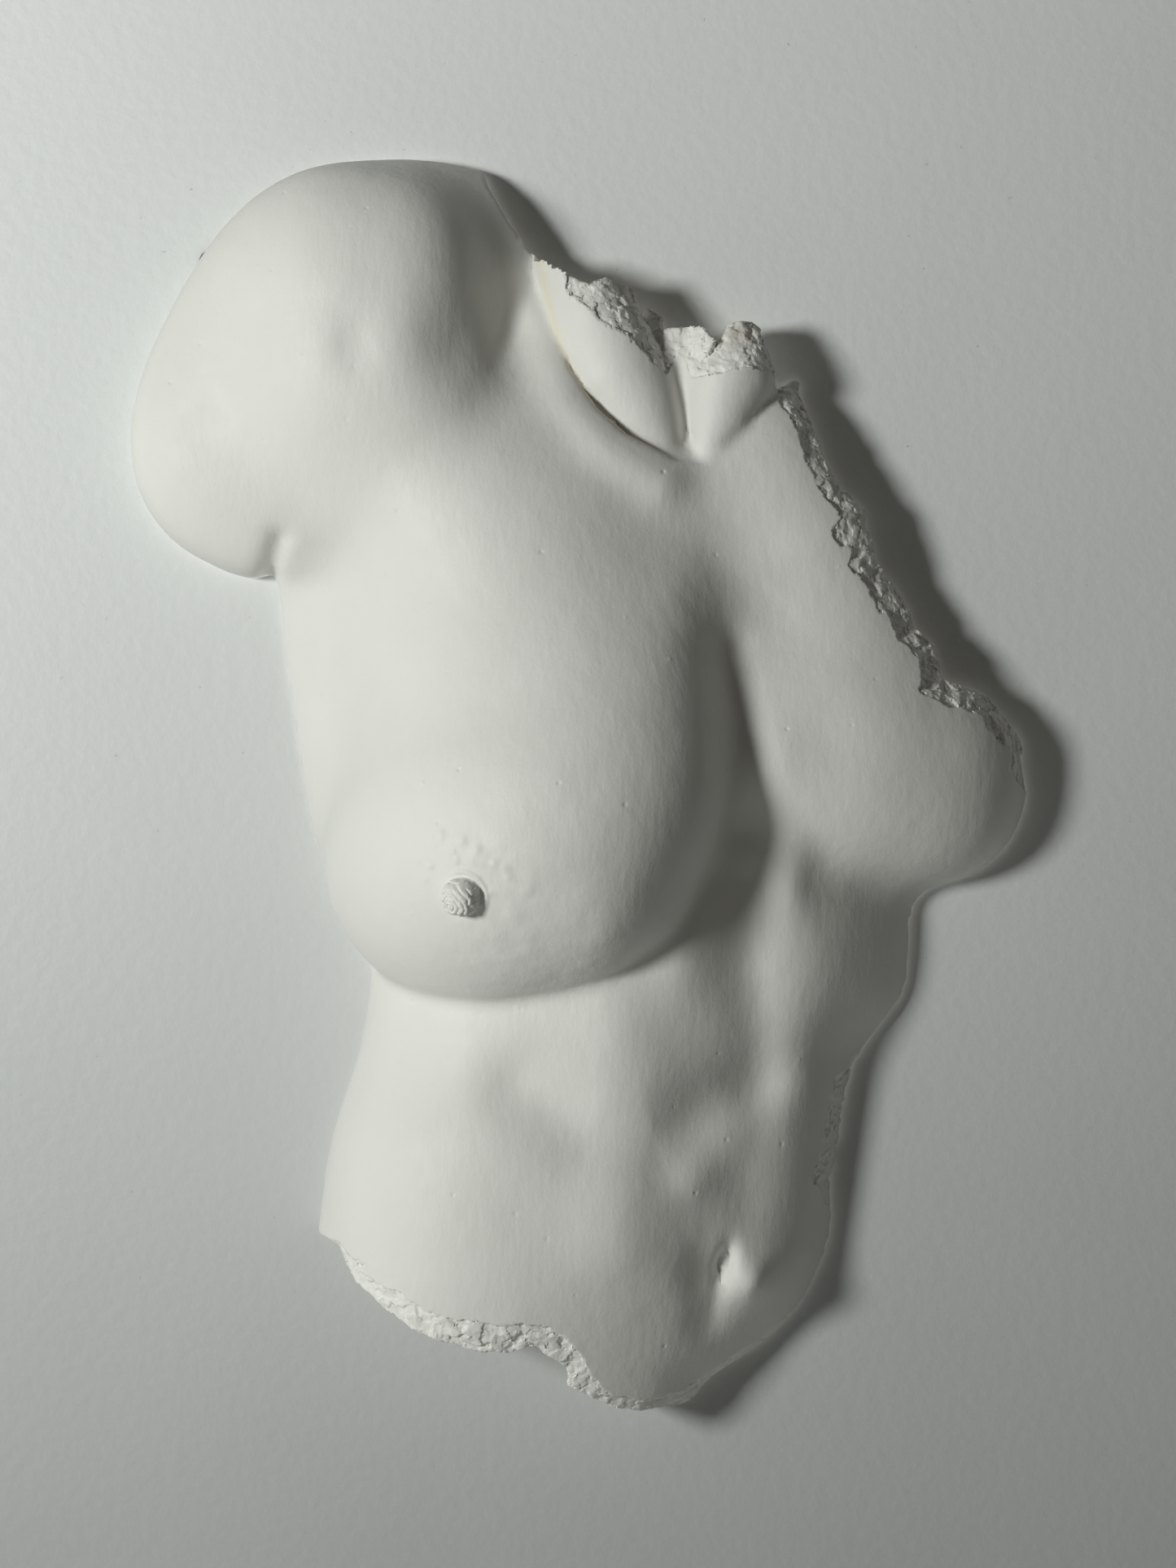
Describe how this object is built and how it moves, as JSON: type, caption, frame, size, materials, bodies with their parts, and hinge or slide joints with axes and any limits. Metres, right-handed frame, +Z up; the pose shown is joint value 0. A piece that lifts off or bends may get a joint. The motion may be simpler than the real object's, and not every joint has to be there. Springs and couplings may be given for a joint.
{
  "type": "plaster torso wall relief",
  "caption": "Hollow plaster cast of part of an adult torso, with a broken edge, that hangs on a wall by rings on a wooden batten.",
  "frame": {"origin": "midway between the two hanging rings, on the wall, level with the inside of the tops of the rings", "axes": "+X to the right of a person who looks at the front, +Y into the wall, +Z up"},
  "size_m": [0.4145, 0.1313, 0.5756],
  "materials": {
    "plaster": "smooth white casting plaster, matte with a faint satin",
    "scrim": "jute scrim soaked in plaster, coarse open weave",
    "timber": "bare sawn softwood",
    "wad_plaster": "rough hand-laid plaster and jute",
    "strap_steel": "zinc plated strip",
    "ring_steel": "zinc plated round wire",
    "screw_brass": "dulled brass",
    "felt": "dense grey wool felt"
  },
  "bodies": {
    "cast": {"torso_shell": "plaster", "scrim_lining": "scrim", "upper_batten": "timber", "lower_batten": "timber", "upper_left_wad": "wad_plaster", "upper_right_wad": "wad_plaster", "lower_left_wad": "wad_plaster", "lower_right_wad": "wad_plaster", "left_strap": "strap_steel", "right_strap": "strap_steel", "left_upper_screw": "screw_brass", "left_lower_screw": "screw_brass", "right_upper_screw": "screw_brass", "right_lower_screw": "screw_brass", "upper_left_pad": "felt", "upper_right_pad": "felt", "lower_left_pad": "felt", "lower_right_pad": "felt"},
    "left_ring": {"left_ring": "ring_steel"},
    "right_ring": {"right_ring": "ring_steel"}
  },
  "joints": [
    {"name": "left_ring_swing", "type": "hinge", "parent": "cast", "child": "left_ring", "pos_m": [-0.032, -0.0058, -0.0165], "axis": [-1, 0, 0], "range_deg": [0, 175]},
    {"name": "right_ring_swing", "type": "hinge", "parent": "cast", "child": "right_ring", "pos_m": [0.032, -0.0058, -0.0165], "axis": [-1, 0, 0], "range_deg": [0, 175]}
  ]
}
